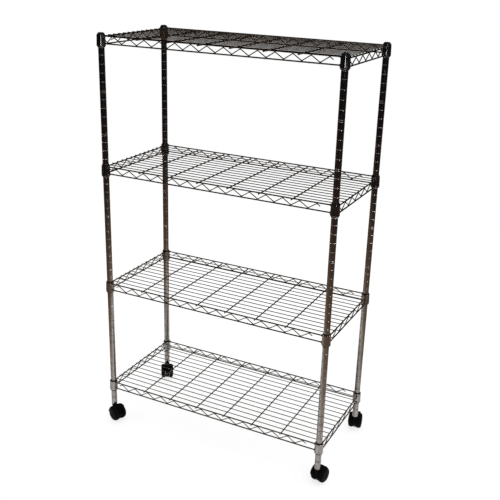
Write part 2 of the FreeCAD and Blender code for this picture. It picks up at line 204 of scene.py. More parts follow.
paper_look = bpy.data.materials.new("paper_look")
tree = emptied(paper_look)
spot = tree.add("ShaderNodeTexCoord").outputs["Object"]
reach = tree.add("ShaderNodeVectorMath", {"operation": "LENGTH"})
tree.link(spot, reach.inputs[0])
fade = ranged(tree, reach.outputs["Value"], PAPER_BRIGHT, PAPER_GONE)
nearness = ranged(tree, reach.outputs["Value"], 0.0, PAPER_RADIUS, smooth=False)
tone = ranged(tree, noise(tree, spot, FIBRE_SCALE, 3.0), 0.0, 1.0, *PAPER_WHITE, smooth=False)
ray = tree.add("ShaderNodeLightPath")
shade = blended(tree, ray.outputs["Is Glossy Ray"], tone, ramp_of(tree, nearness, PAINTED_POOL))
scaled = tree.add("ShaderNodeVectorMath", {"operation": "SCALE"})
tree.link(shade, scaled.inputs[0])
tree.link(ranged(tree, ray.outputs["Is Camera Ray"], 0.0, 1.0, 1.0, PAPER_LIT, smooth=False),
          scaled.inputs["Scale"])
matt = tree.add("ShaderNodeBsdfDiffuse")
tree.link(scaled.outputs["Vector"], matt.inputs["Color"])
glow = tree.add("ShaderNodeEmission")
tree.link(ranged(tree, ray.outputs["Is Camera Ray"], 0.0, 1.0, 0.0, PAPER_GLOW, smooth=False),
          glow.inputs["Strength"])
both = tree.add("ShaderNodeAddShader")
tree.link(matt.outputs["BSDF"], both.inputs[0])
tree.link(glow.outputs["Emission"], both.inputs[1])
clear = tree.add("ShaderNodeBsdfTransparent")
mixed = tree.add("ShaderNodeMixShader")
tree.link(fade, mixed.inputs["Fac"])
tree.link(both.outputs["Shader"], mixed.inputs[1])
tree.link(clear.outputs["BSDF"], mixed.inputs[2])
out = tree.add("ShaderNodeOutputMaterial")
tree.link(mixed.outputs["Shader"], out.inputs["Surface"])
paper.data.materials.append(paper_look)
print("colours in the pool:", len(PAINTED_POOL))

# %% [markdown]
# ## The room
# Beyond the paper the room is plain white where the camera looks at it. Reflections see
# it dark around and above and brown low down, because a white room would turn chrome
# posts white all over. Upright folds, as of curtains, vary that darkness a little, so
# that no two posts shine quite alike. One world shader holds both looks and picks by
# the kind of ray.

# %% Room
ROOM = [  # height of the look, from straight down to straight up, and the room's colour
    (0.00, (0.08, 0.06, 0.045)), (0.33, (0.050, 0.034, 0.026)), (0.37, (0.032, 0.020, 0.018)),
    (0.405, (0.011, 0.009, 0.009)), (0.50, (0.006, 0.006, 0.007)), (0.62, (0.008, 0.008, 0.009)),
    (0.80, (0.016, 0.014, 0.013)), (1.00, (0.025, 0.022, 0.020)),
]
FOLD_SCALE, FOLD_STRETCH = 2.6, 0.25
FOLD_DARK, FOLD_PALE = 0.25, 1.9

world = bpy.data.worlds.new("studio")
scene.world = world
tree = emptied(world)
looking = tree.add("ShaderNodeTexCoord").outputs["Generated"]
split = tree.add("ShaderNodeSeparateXYZ")
tree.link(looking, split.inputs["Vector"])
height = ranged(tree, split.outputs["Z"], -1.0, 1.0, smooth=False)
upright = tree.add("ShaderNodeMapping", {"Scale": (1.0, 1.0, FOLD_STRETCH)})
tree.link(looking, upright.inputs["Vector"])
curtains = noise(tree, upright.outputs["Vector"], FOLD_SCALE)
dark = tree.add("ShaderNodeBackground")
tree.link(ramp_of(tree, height, ROOM), dark.inputs["Color"])
tree.link(ranged(tree, curtains, 0.35, 0.65, FOLD_DARK, FOLD_PALE), dark.inputs["Strength"])
white = tree.add("ShaderNodeBackground", {"Color": (1.0, 1.0, 1.0, 1.0), "Strength": 1.0})
ray = tree.add("ShaderNodeLightPath")
seen = tree.add("ShaderNodeMixShader")
tree.link(ray.outputs["Is Camera Ray"], seen.inputs["Fac"])
tree.link(dark.outputs["Background"], seen.inputs[1])
tree.link(white.outputs["Background"], seen.inputs[2])
out = tree.add("ShaderNodeOutputWorld")
tree.link(seen.outputs["Shader"], out.inputs["Surface"])
print("room colours:", len(ROOM))

# %% [markdown]
# ## Lights
# A wide overhead light gives the soft shadows. It is kept out of reflections, where it
# would wash out the chrome. The streaks on posts and collars come from narrow panels
# instead: a tall strip at the right, a small cool flash near the camera, and a glint
# from either side. Real product shots use strip boxes on chrome in the same way.

# %% Lights
CART_MIDDLE = Vector((0.0, 0.0, 0.6))
CEILING_POWER, CEILING_SPREAD, CEILING_TILT = 3.8, math.radians(80), math.radians(-12)


def panel(name, place, wide, power, tall=None, aim=CART_MIDDLE, colour=(1, 1, 1)):
    """A soft panel of light at a place, turned to face a point; square if no height is given."""
    lamp = bpy.data.lights.new(name, "AREA")
    lamp.shape = "RECTANGLE" if tall else "SQUARE"
    lamp.size, lamp.energy, lamp.color = wide, power, colour
    if tall:
        lamp.size_y = tall
    made = bpy.data.objects.new(name, lamp)
    scene.collection.objects.link(made)
    place = Vector(place)
    made.rotation_euler = (aim - place).to_track_quat("-Z", "Y").to_euler()
    made.location = place
    made.visible_camera = False
    print(name, tuple(round(v, 2) for v in place), power, "W")


ceiling = bpy.data.objects.new("ceiling_light", bpy.data.lights.new("ceiling_light", "SUN"))
scene.collection.objects.link(ceiling)
ceiling.data.energy, ceiling.data.angle = CEILING_POWER, CEILING_SPREAD
ceiling.rotation_euler = (CEILING_TILT, 0.0, 0.0)
ceiling.visible_glossy = False
panel("front_strip", (2.35, -1.75, 2.5), wide=0.2, power=16, tall=2.2, aim=Vector((0, 0, 2.5)))
panel("flash_panel", (1.1, -2.55, 1.27), wide=0.14, power=1.5, tall=0.45,
      aim=Vector((0, 0, 1.27)), colour=(0.93, 0.96, 1.0))
panel("side_glint", (3.2, 0.6, 2.0), wide=0.4, power=7, colour=(0.86, 0.92, 1.0))
panel("left_glint", (-2.6, -1.2, 1.9), wide=0.3, power=3)

# %% [markdown]
# ## The camera
# The camera stands to the right in front of the cart, a little above the top shelf, and
# looks down at it, so all four shelves show their decks. It leans by under two degrees.
# A tracking constraint would keep it level, so its axes are worked out from the three
# angles instead.

# %% Camera
CAMERA_PLACE, CAMERA_LENS, SENSOR = (1.054, -2.0416, 1.4875), 57.01, 36.0
YAW, PITCH, ROLL = -26.37, 20.615, -1.704  # degrees turned to the right, down and over

yaw, pitch, roll = (math.radians(angle) for angle in (YAW, PITCH, ROLL))
ahead = Vector((math.sin(yaw) * math.cos(pitch), math.cos(yaw) * math.cos(pitch), -math.sin(pitch)))
level = Vector((math.cos(yaw), -math.sin(yaw), 0.0))
down = ahead.cross(level)
right = math.cos(roll) * level + math.sin(roll) * down
below = -math.sin(roll) * level + math.cos(roll) * down
eye = bpy.data.objects.new("camera", bpy.data.cameras.new("camera"))
scene.collection.objects.link(eye)
eye.data.lens, eye.data.sensor_width = CAMERA_LENS, SENSOR
eye.matrix_world = Matrix.Translation(CAMERA_PLACE) @ Matrix((right, -below, -ahead)).transposed().to_4x4()
scene.camera = eye
print("camera looks along", tuple(round(v, 3) for v in ahead))

# %% [markdown]
# ## Finishes
# Three effects are shared by several finishes, so each is a node group with named
# inputs and outputs: the grain of a moulded surface, the clouds and pin spots in
# plating, and the scuffs and dust that plastic collects. They read the object's own
# coordinates, in metres, so their scale is real, and each finish gives them its own
# values. Painted textures would need unwrapped surfaces, which CAD solids don't have.

# %% Node groups
COLOUR, NUMBER, VECTOR = "NodeSocketColor", "NodeSocketFloat", "NodeSocketVector"


def new_group(name, inputs, outputs):
    """A shader node group with named sockets; returns it, its tree, its inputs and its result."""
    group = bpy.data.node_groups.new(name, "ShaderNodeTree")
    for label, kind, default in inputs:
        made = group.interface.new_socket(name=label, in_out="INPUT", socket_type=kind)
        if default is not None:
            made.default_value = default
    for label, kind in outputs:
        group.interface.new_socket(name=label, in_out="OUTPUT", socket_type=kind)
    tree = Tree(group)
    return group, tree, tree.add("NodeGroupInput").outputs, tree.add("NodeGroupOutput").inputs


# Grain: fine bumps and a slight, broad change of tone.
grain, tree, given, result = new_group(
    "surface_grain",
    [("Vector", VECTOR, None), ("Size", NUMBER, 1500.0), ("Unevenness", NUMBER, 0.1)],
    [("Height", NUMBER), ("Tone", NUMBER)])
fine = noise(tree, given["Vector"], given["Size"], 3.0, 0.6)
broad = noise(tree, given["Vector"], maths(tree, "MULTIPLY", given["Size"], 0.03))
tree.link(fine, result["Height"])
tree.link(maths(tree, "MULTIPLY", ranged(tree, broad, 0.3, 0.7, -1.0, 1.0), given["Unevenness"]),
          result["Tone"])
print("group:", grain.name)

# %% [markdown]
# Plating is never even. It clouds where the bath ran weak, it keeps the long streaks of
# the drawn metal under it, and it pits in pin spots. Clouds and spots share one mask,
# which mixes the bright metal with the hazed one and makes it rougher.

# %% Plating group
STREAK_STRETCH = 0.04  # streaks vary this much more slowly along a post than across it
PIN_SHARE = 6.0  # pin spots are this many times finer than clouds
plating, tree, given, result = new_group(
    "plating",
    [("Vector", VECTOR, None), ("Bright", COLOUR, (0.55, 0.55, 0.56, 1.0)),
     ("Hazed", COLOUR, (0.4, 0.37, 0.34, 1.0)), ("Roughness", NUMBER, 0.1),
     ("Haze Roughness", NUMBER, 0.25), ("Cloud Size", NUMBER, 60.0), ("Streak Size", NUMBER, 500.0)],
    [("Colour", COLOUR), ("Roughness", NUMBER), ("Height", NUMBER)])
clouds = ranged(tree, noise(tree, given["Vector"], given["Cloud Size"], 4.0, 0.62), 0.38, 0.68)
drawn = tree.add("ShaderNodeMapping", {"Scale": (1.0, 1.0, STREAK_STRETCH)})
tree.link(given["Vector"], drawn.inputs["Vector"])
streaks = noise(tree, drawn.outputs["Vector"], given["Streak Size"])
cells = tree.add("ShaderNodeTexVoronoi", {"feature": "F1"})
tree.link(given["Vector"], cells.inputs["Vector"])
tree.link(maths(tree, "MULTIPLY", given["Cloud Size"], PIN_SHARE), cells.inputs["Scale"])
pins = ranged(tree, cells.outputs["Distance"], 0.06, 0.14, 1.0, 0.0)
mask = maths(tree, "MINIMUM", maths(tree, "ADD", clouds, pins), 1.0)
rough = ranged(tree, mask, 0.0, 1.0, given["Roughness"], given["Haze Roughness"])
tree.link(blended(tree, mask, given["Bright"], given["Hazed"]), result["Colour"])
tree.link(maths(tree, "ADD", rough, maths(tree, "MULTIPLY", streaks, 0.05)), result["Roughness"])
tree.link(maths(tree, "ADD", maths(tree, "MULTIPLY", streaks, 0.7), maths(tree, "MULTIPLY", clouds, 0.3)),
          result["Height"])
print("group:", plating.name)

# %% [markdown]
# Black plastic shows its age as thin pale scratches and patches of dust. Both are noise:
# dust is broad and soft, and scratches are the same noise squeezed along a slanting
# line, cut off hard. Drawing single scratches would place them better, but on wheels of
# this size nobody could tell.

# %% Scuffs group
SCRATCH_TURN, SCRATCH_STRETCH, SCRATCH_FINER = (0.6, 0.4, 0.9), 0.08, 9.0
scuffs, tree, given, result = new_group(
    "scuffs_and_dust",
    [("Vector", VECTOR, None), ("Clean", COLOUR, (0.02, 0.02, 0.02, 1.0)),
     ("Dusty", COLOUR, (0.1, 0.095, 0.09, 1.0)), ("Size", NUMBER, 120.0), ("Amount", NUMBER, 0.5),
     ("Roughness", NUMBER, 0.4)],
    [("Colour", COLOUR), ("Roughness", NUMBER)])
dust = ranged(tree, noise(tree, given["Vector"], given["Size"], 5.0, 0.7), 0.48, 0.78)
turned = tree.add("ShaderNodeMapping", {"Rotation": SCRATCH_TURN, "Scale": (1.0, 1.0, SCRATCH_STRETCH)})
tree.link(given["Vector"], turned.inputs["Vector"])
lines = noise(tree, turned.outputs["Vector"], maths(tree, "MULTIPLY", given["Size"], SCRATCH_FINER), 1.0)
scratch = ranged(tree, lines, 0.66, 0.72)
mask = maths(tree, "MULTIPLY", maths(tree, "MAXIMUM", dust, scratch), given["Amount"])
tree.link(blended(tree, mask, given["Clean"], given["Dusty"]), result["Colour"])
tree.link(maths(tree, "ADD", given["Roughness"], maths(tree, "MULTIPLY", mask, 0.35)), result["Roughness"])
print("group:", scuffs.name)

# %% [markdown]
# ### Plated metal
# Posts, wires and collars are chrome on steel. Bright chrome is a mirror with a little
# orange peel; the wires are rougher, because they are drawn and welded before plating.
# The caster's stem and axle are zinc, which is bluer and duller.

# %% Plated metal
def new_look(name):
    """A new material, with its tree, its shader and its object coordinates."""
    made = bpy.data.materials.new(name)
    tree = emptied(made)
    shader = tree.add("ShaderNodeBsdfPrincipled")
    out = tree.add("ShaderNodeOutputMaterial")
    tree.link(shader.outputs["BSDF"], out.inputs["Surface"])
    return made, tree, shader, tree.add("ShaderNodeTexCoord").outputs["Object"]


def use_group(tree, group, vector, **values):
    """One of the shared effects in a material, with this finish's values."""
    made = tree.add("ShaderNodeGroup", {"node_tree": group})
    tree.link(vector, made.inputs["Vector"])
    for label, value in values.items():
        made.inputs[label.replace("_", " ")].default_value = value
    return made.outputs


def bumped(tree, shader, height, depth):
    made = tree.add("ShaderNodeBump", {"Strength": 1.0, "Distance": depth})
    tree.link(height, made.inputs["Height"])
    tree.link(made.outputs["Normal"], shader.inputs["Normal"])


def plated(name, bright, hazed, rough, haze_rough, cloud_size, streak_size, peel):
    made, tree, shader, where = new_look(name)
    shader.inputs["Metallic"].default_value = 1.0
    metal = use_group(tree, plating, where, Bright=(*bright, 1), Hazed=(*hazed, 1), Roughness=rough,
                      Haze_Roughness=haze_rough, Cloud_Size=cloud_size, Streak_Size=streak_size)
    tree.link(metal["Colour"], shader.inputs["Base Color"])
    tree.link(metal["Roughness"], shader.inputs["Roughness"])
    bumped(tree, shader, metal["Height"], peel)
    return made


LOOKS = {
    "post_chrome": plated(
        "post_chrome_look", bright=(0.50, 0.495, 0.49), hazed=(0.40, 0.385, 0.37), rough=0.05,
        haze_rough=0.14, cloud_size=55.0, streak_size=420.0, peel=0.00004),
    "collar_chrome": plated(
        "collar_chrome_look", bright=(0.54, 0.54, 0.55), hazed=(0.42, 0.41, 0.40), rough=0.06,
        haze_rough=0.18, cloud_size=90.0, streak_size=300.0, peel=0.00004),
    "wire_chrome": plated(
        "wire_chrome_look", bright=(0.31, 0.283, 0.255), hazed=(0.19, 0.162, 0.135), rough=0.14,
        haze_rough=0.28, cloud_size=110.0, streak_size=900.0, peel=0.00003),
    "zinc_steel": plated(
        "zinc_steel_look", bright=(0.56, 0.57, 0.60), hazed=(0.40, 0.40, 0.40), rough=0.28,
        haze_rough=0.42, cloud_size=160.0, streak_size=1200.0, peel=0.00003),
}
print("plated:", sorted(LOOKS))

# %% [markdown]
# ### Moulded plastic
# The hoods, wheels, clips and caps are black, and never quite black: the mould leaves
# a spark-eroded grain, and handling leaves grey scuffs. The caps are polished, so they
# get a clear coat of their own and almost no grain.

# %% Moulded plastic
GRAIN_UNEVEN, COAT_ROUGH = 0.05, 0.12


def moulded(name, clean, dusty, rough, scuffed, dust_size, grain_size, grain_depth, gloss=0.35, coat=0.0):
    made, tree, shader, where = new_look(name)
    worn = use_group(tree, scuffs, where, Clean=(*clean, 1), Dusty=(*dusty, 1), Size=dust_size,
                     Amount=scuffed, Roughness=rough)
    skin = use_group(tree, grain, where, Size=grain_size, Unevenness=GRAIN_UNEVEN)
    tree.link(worn["Colour"], shader.inputs["Base Color"])
    tree.link(maths(tree, "ADD", worn["Roughness"], skin["Tone"]), shader.inputs["Roughness"])
    shader.inputs["Specular IOR Level"].default_value = gloss
    shader.inputs["Coat Weight"].default_value = coat
    shader.inputs["Coat Roughness"].default_value = COAT_ROUGH
    bumped(tree, shader, skin["Height"], grain_depth)
    return made


LOOKS.update({
    "clip_plastic": moulded(
        "clip_plastic_look", clean=(0.012, 0.012, 0.013), dusty=(0.05, 0.048, 0.045), rough=0.35,
        scuffed=0.5, dust_size=150.0, grain_size=1800.0, grain_depth=0.00005),
    "socket_plastic": moulded(
        "socket_plastic_look", clean=(0.03, 0.03, 0.032), dusty=(0.08, 0.076, 0.07), rough=0.45,
        scuffed=0.6, dust_size=150.0, grain_size=1500.0, grain_depth=0.00006),
    "cap_plastic": moulded(
        "cap_plastic_look", clean=(0.008, 0.008, 0.009), dusty=(0.035, 0.034, 0.032), rough=0.22,
        scuffed=0.35, dust_size=120.0, grain_size=900.0, grain_depth=0.00002, coat=0.4),
    "hood_plastic": moulded(
        "hood_plastic_look", clean=(0.0030, 0.0030, 0.0033), dusty=(0.014, 0.013, 0.012), rough=0.5,
        scuffed=0.45, dust_size=110.0, grain_size=1300.0, grain_depth=0.00009, gloss=0.06),
    "wheel_nylon": moulded(
        "wheel_nylon_look", clean=(0.0030, 0.0030, 0.0034), dusty=(0.018, 0.017, 0.015), rough=0.48,
        scuffed=0.6, dust_size=90.0, grain_size=1000.0, grain_depth=0.00005, gloss=0.06),
})
slots = {row["node"]: row["material_slot"] for row in frame["record"]["subparts"]}
for name, piece in nodes.items():
    for place in piece.material_slots:
        place.material = LOOKS[slots[name]]
print("moulded and plated:", len(LOOKS), "looks on", len(slots), "nodes")

# %% [markdown]
# ## Modelling by hand
# Every small piece below starts as a plain primitive and gets its shape in edit mode:
# faces are picked by where they are and which way they look, then inset, extruded and
# bevelled. What repeats is modelled once, copied with a mesh of its own, and joined to
# its neighbours.

# %% Modelling helpers
def pick(piece, test):
    """In edit mode, select the faces whose centre and normal pass a test."""
    bpy.ops.mesh.select_mode(type="FACE")
    bpy.ops.mesh.select_all(action="DESELECT")
    bpy.ops.object.mode_set(mode="OBJECT")
    for face in piece.data.polygons:
        face.select = test(face.center, face.normal)
    bpy.ops.object.mode_set(mode="EDIT")


def push(distance):
    """Extrude the picked faces along Z."""
    bpy.ops.mesh.extrude_region_move(TRANSFORM_OT_translate={"value": (0.0, 0.0, distance)})


def inset(width):
    bpy.ops.mesh.inset(thickness=width, depth=0.0)


def rounded(width, segments):
    """Bevel the edges of what is picked."""
    bpy.ops.mesh.bevel(offset=width, segments=segments, affect="EDGES")


def started(**settled):
    """The primitive that was just added, with its place and turn applied, in edit mode."""
    piece = bpy.context.object
    bpy.ops.object.transform_apply(**settled)
    bpy.ops.object.mode_set(mode="EDIT")
    return piece


def shaped(piece, smooth_angle=35.0):
    """Leave edit mode with clean normals and with soft and sharp edges told apart."""
    bpy.ops.mesh.select_all(action="SELECT")
    bpy.ops.mesh.normals_make_consistent(inside=False)
    deselect()
    piece.select_set(True)
    bpy.context.view_layer.objects.active = piece
    bpy.ops.object.transform_apply(location=True, rotation=True, scale=True)
    bpy.ops.object.shade_smooth_by_angle(angle=math.radians(smooth_angle))
    return piece


def joined(pieces):
    """Several pieces made one."""
    deselect()
    for thing in pieces:
        thing.select_set(True)
    bpy.context.view_layer.objects.active = pieces[0]
    if len(pieces) > 1:
        bpy.ops.object.join()
    return bpy.context.object


def placed(source, name, places, body, slot_name):
    """Copies of a modelled piece at these places, joined into one that rides with a body."""
    made = []
    for place in places:
        mesh = source.data.copy()
        mesh.transform(place)
        thing = bpy.data.objects.new(name, mesh)
        scene.collection.objects.link(thing)
        made.append(thing)
    piece = joined(made)
    piece.data.materials.clear()
    piece.data.materials.append(LOOKS[slot_name])
    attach(piece, body)
    return piece


def drop(piece):
    """Remove the model that the copies were made from."""
    bpy.data.objects.remove(piece, do_unlink=True)


print("modelling helpers ready")

# %% [markdown]
# ## Caster wheels
# A twin-wheel caster has two hollow nylon wheels. Each is moulded in one piece: a tread,
# a domed outer face with a hub cover, and a hub inside that runs on the axle. It could
# be spun from a drawn profile; here the dome is one wide bevel of the cylinder's outer
# edge, and the hollow and the bore are inset and pushed in from the other side, as the
# mould's core would do.

# %% Wheel
WHEEL_R, WHEEL_INNER, WHEEL_OUTER = 0.024, 0.0076, 0.022
COVER_ROOM = 0.0006  # left free outside the face, for the hub cover's rings
DOME, DOME_SEGMENTS = 0.0078, 7  # rounding of the outer edge
HUB_R, BORE_R, HOLLOW = 0.007, 0.0031, 0.0082
INNER_EDGE, TREAD_WALL = 0.0008, 0.005
BORE_END = 0.0016  # how far the bore stops short of WHEEL_OUTER
FACE_RINGS = (  # the outer face from its rim inwards: each ring's width, then its step out
    (0.0052, 0.0003), (0.0005, -0.0006), (0.0004, 0.0008), (0.0016, 0.0001), (0.0045, -0.0004),
)

deselect()
bpy.ops.mesh.primitive_cylinder_add(
    vertices=64, radius=WHEEL_R, depth=WHEEL_OUTER - WHEEL_INNER - COVER_ROOM,
    location=(0, 0, (WHEEL_OUTER - COVER_ROOM + WHEEL_INNER) / 2))
wheel = started(location=True)
pick(wheel, lambda centre, normal: normal.z > 0.9)
rounded(DOME, DOME_SEGMENTS)
pick(wheel, lambda centre, normal: normal.z > 0.999)
for width, step in FACE_RINGS:
    inset(width)
    push(step)
pick(wheel, lambda centre, normal: normal.z < -0.9)
rounded(INNER_EDGE, 2)
pick(wheel, lambda centre, normal: normal.z < -0.999)
inset(TREAD_WALL - INNER_EDGE)
push(HOLLOW)
inset(WHEEL_R - TREAD_WALL - HUB_R)
push(-HOLLOW)
inset(HUB_R - BORE_R)
push(WHEEL_OUTER - WHEEL_INNER - BORE_END)
shaped(wheel)
print("wheel:", len(wheel.data.polygons), "faces")

# %% [markdown]
# Eight copies go onto the eight wheel joints. Each joint gives a point on the axle and
# the axle's line, and the CAD wheel's box tells which way is outwards. The places could
# be typed in, but read from the joints they stay right when the frame changes.

# %% Wheels on their axles
wheel_count = 0
for row in frame["record"]["behaviour"]["joints"]:
    if not row["child"].startswith("wheel_"):
        continue
    corner, side = row["child"].removeprefix("wheel_").rsplit("_", 1)
    node_name = "caster_%s_wheel_%s" % (corner, side)
    low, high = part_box(node_name)
    on_axle = Vector(row["pos_m"])
    outward = Vector(row["axis"]).normalized()
    if outward.dot((low + high) / 2 - on_axle) < 0:
        outward = -outward
    upward = Vector((0, 0, 1))
    turn = Matrix((upward, outward.cross(upward), outward)).transposed()
    place = Matrix.Translation(on_axle) @ turn.to_4x4()
    made = placed(wheel, "domed_wheel_%s_%s" % (corner, side), [place], row["child"], "wheel_nylon")
    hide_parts(node_name)
    wheel_count += 1
drop(wheel)
print("wheels:", wheel_count)

# %% [markdown]
# ## Caster hoods
# The hood is one moulding: a shell that wraps the back and the shoulders of both wheels,
# a web between them that carries the axle, and a boss for the stem. The shell starts as a
# grid that is laid round the wheels at an even gap and then thickened, so that its
# shoulders follow the wheels' domes. A bent box would need the same curve drawn by hand
# in two directions.

# %% Hood shell
SHELL_FROM, SHELL_TO = math.radians(64), math.radians(176)  # round the axle, from +X upwards
SHELL_GAP, SHELL_WALL = 0.0007, 0.0013
WHEEL_OFFSET = 0.017  # from the stem's line to the axle
WRAP = math.radians(56)  # how far the shell follows the dome


def shell_point(across, along):
    """The hood's outer surface, from two numbers between -1 and 1."""
    reach = DOME + SHELL_GAP + SHELL_WALL
    flat = WHEEL_OUTER - COVER_ROOM - DOME
    path = abs(across) * (flat + reach * WRAP)
    bend = max(0.0, path - flat) / reach
    side = min(path, flat) + reach * math.sin(bend)
    radius = WHEEL_R - DOME + reach * math.cos(bend)
    angle = SHELL_FROM + (SHELL_TO - SHELL_FROM) * (along + 1) / 2
    return Vector((WHEEL_OFFSET + radius * math.cos(angle), math.copysign(side, across),
                   WHEEL_R + radius * math.sin(angle)))


deselect()
bpy.ops.mesh.primitive_grid_add(x_subdivisions=30, y_subdivisions=28, size=2.0)
shell = bpy.context.object
for vertex in shell.data.vertices:
    vertex.co = shell_point(vertex.co.x, vertex.co.y)
bpy.ops.object.mode_set(mode="EDIT")
shaped(shell)
thick = shell.modifiers.new("wall", "SOLIDIFY")
thick.thickness = SHELL_WALL
outside = shell.data.polygons[0]
away = outside.center - Vector((WHEEL_OFFSET, outside.center.y, WHEEL_R))
thick.offset = -1.0 if outside.normal.dot(away) > 0 else 1.0
bpy.ops.object.modifier_apply(modifier="wall")
bpy.ops.object.mode_set(mode="EDIT")
shaped(shell, smooth_angle=40.0)
print("shell:", len(shell.data.polygons), "faces")

# %% [markdown]
# The web is a disc between the wheels, and a wider one fills the gap low down, as a real
# hood's ribs do. A bar closes the space between the web and the shell. All three are
# slices of cylinders on the axle, cut by planes through it, because the room between two
# wheels is round.

# %% Hood web
WEB_WIDTH, WEB_SHORT = 0.008, 0.0016  # each disc's width, and how much smaller than the wheel it is
LOW_WIDTH, LOW_SHORT, LOW_SLOPE = 0.0143, 0.0019, math.radians(18)
BAR_WIDTH, BAR_PROUD, BAR_SLOPE = 0.0076, 0.0012, math.radians(-4)
DISC_EDGE = 0.0006


def cut_at(slope, **removed):
    """In edit mode, cut a piece by a plane through the axle that slopes by this angle."""
    bpy.ops.mesh.select_all(action="SELECT")
    bpy.ops.mesh.bisect(plane_co=(WHEEL_OFFSET, 0, WHEEL_R), use_fill=True,
                        plane_no=(-math.sin(slope), 0, math.cos(slope)), **removed)


def disc_on_axle(radius, width, keep_below=None):
    """A disc on the axle, between the wheels, cut off above a sloping line if one is given."""
    deselect()
    bpy.ops.mesh.primitive_cylinder_add(
        vertices=56, radius=radius, depth=width, rotation=(math.radians(90), 0, 0),
        location=(WHEEL_OFFSET, 0, WHEEL_R))
    disc = started(location=True, rotation=True)
    if keep_below is not None:
        cut_at(keep_below, clear_outer=True)
    pick(disc, lambda centre, normal: abs(normal.y) > 0.9)
    rounded(DISC_EDGE, 2)
    return shaped(disc)


web = disc_on_axle(WHEEL_R - WEB_SHORT, WEB_WIDTH)
web_low = disc_on_axle(WHEEL_R - LOW_SHORT, LOW_WIDTH, keep_below=LOW_SLOPE)
top_bar = disc_on_axle(WHEEL_R + BAR_PROUD, BAR_WIDTH)
bpy.ops.object.mode_set(mode="EDIT")
cut_at(BAR_SLOPE, clear_inner=True)
cut_at(SHELL_FROM, clear_inner=True)
shaped(top_bar)
print("faces of web, lower web and bar:", [len(part.data.polygons) for part in (web, web_low, top_bar)])

# %% [markdown]
# The boss holds the stem: a round neck that flares at its top, where the swivel's ball
# race sits in a real caster. A rolled lip stiffens each free edge of the shell. Both are
# plain round bars with their ends rounded.

# %% Hood boss and lips
NECK_R, NECK_FOOT, NECK_WAIST = 0.007, 0.018, 0.0435
BOSS_R, BOSS_FLARE, BOSS_TOP, BOSS_EDGE = 0.0085, 0.0015, 0.050, 0.0007
LIP_R, LIP_EDGE = 0.00095, 0.0006

deselect()
bpy.ops.mesh.primitive_cylinder_add(
    vertices=40, radius=NECK_R, depth=NECK_WAIST - NECK_FOOT,
    location=(0, 0, (NECK_WAIST + NECK_FOOT) / 2))
neck = started(location=True)
pick(neck, lambda centre, normal: normal.z > 0.9)
push(BOSS_FLARE)
bpy.ops.transform.resize(value=(BOSS_R / NECK_R, BOSS_R / NECK_R, 1.0))
push(BOSS_TOP - NECK_WAIST - BOSS_FLARE)
rounded(BOSS_EDGE, 3)
shaped(neck)

lips = []
for angle in (SHELL_FROM, SHELL_TO):
    deselect()
    radius = WHEEL_R + SHELL_GAP + SHELL_WALL / 2
    bpy.ops.mesh.primitive_cylinder_add(
        vertices=16, radius=LIP_R, depth=2 * (WHEEL_OUTER - DOME), rotation=(math.radians(90), 0, 0),
        location=(WHEEL_OFFSET + radius * math.cos(angle), 0, WHEEL_R + radius * math.sin(angle)))
    lip = started(location=True, rotation=True)
    pick(lip, lambda centre, normal: abs(normal.y) > 0.9)
    rounded(LIP_EDGE, 3)
    lips.append(shaped(lip))
hood = joined([shell, web, web_low, top_bar, neck, *lips])
print("hood:", len(hood.data.polygons), "faces")

# %% [markdown]
# The hood was modelled with its stem at the origin and its axle towards +X. Each caster
# is turned its own way, which the line from its stem to its axle gives.

# %% Hoods on their stems
CORNERS = ("front_left", "front_right", "back_left", "back_right")

caster_places = {}
for corner in CORNERS:
    low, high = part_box("caster_%s_stem" % corner)
    middle = (low + high) / 2
    low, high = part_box("caster_%s_axle" % corner)
    trail = (low + high) / 2 - middle
    turn = Matrix.Rotation(math.atan2(trail.y, trail.x), 4, "Z")
    caster_places[corner] = Matrix.Translation((middle.x, middle.y, 0)) @ turn
    made = placed(hood, "hood_%s" % corner, [caster_places[corner]], "caster_" + corner, "hood_plastic")
    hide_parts("caster_%s_hood" % corner)
drop(hood)
print("hoods:", len(caster_places))

# %% [markdown]
# ## Brake levers
# The two back casters have a brake tab that a toe can find. Four ribs across it keep
# the toe from slipping. The tab is the CAD's own; the ribs are bevelled blocks laid on
# its arc, which ride with it when the lever goes down.

# %% Lever grips
RIB_R, RIB_ANGLES = 0.0272, (36, 41, 46, 51)
RIB_SIZE, RIB_EDGE = (0.0012, 0.024, 0.0011), 0.0004

ribs = []
for angle in [math.radians(degrees) for degrees in RIB_ANGLES]:
    deselect()
    bpy.ops.mesh.primitive_cube_add(size=1.0, rotation=(0, -angle, 0), location=(
        WHEEL_OFFSET + RIB_R * math.cos(angle), 0, WHEEL_R + RIB_R * math.sin(angle)))
    bpy.context.object.scale = RIB_SIZE
    rib = started(location=True, rotation=True, scale=True)
    bpy.ops.mesh.select_all(action="SELECT")
    rounded(RIB_EDGE, 2)
    ribs.append(shaped(rib))
grip = joined(ribs)
for corner in ("back_left", "back_right"):
    placed(grip, "lever_grip_%s" % corner, [caster_places[corner]], "brake_lever_" + corner,
           slots["caster_%s_brake_lever" % corner])
drop(grip)
print("ribs on each lever:", len(RIB_ANGLES))

# %% [markdown]
# ## Welds
# The wires are resistance-welded where they cross: the current melts the contact and
# squeezes out a small bead. Each bead is a flattened block with all its edges bevelled.
# There are hundreds of them, so a bead has only a few dozen faces.

# %% Weld bead
BEAD_SIZE, BEAD_EDGE = (0.0036, 0.0036, 0.0016), 0.00065

deselect()
bpy.ops.mesh.primitive_cube_add(size=1.0)
bpy.context.object.scale = BEAD_SIZE
bead = started(scale=True)
bpy.ops.mesh.select_all(action="SELECT")
rounded(BEAD_EDGE, 2)
shaped(bead, smooth_angle=60.0)
print("bead:", len(bead.data.polygons), "faces")

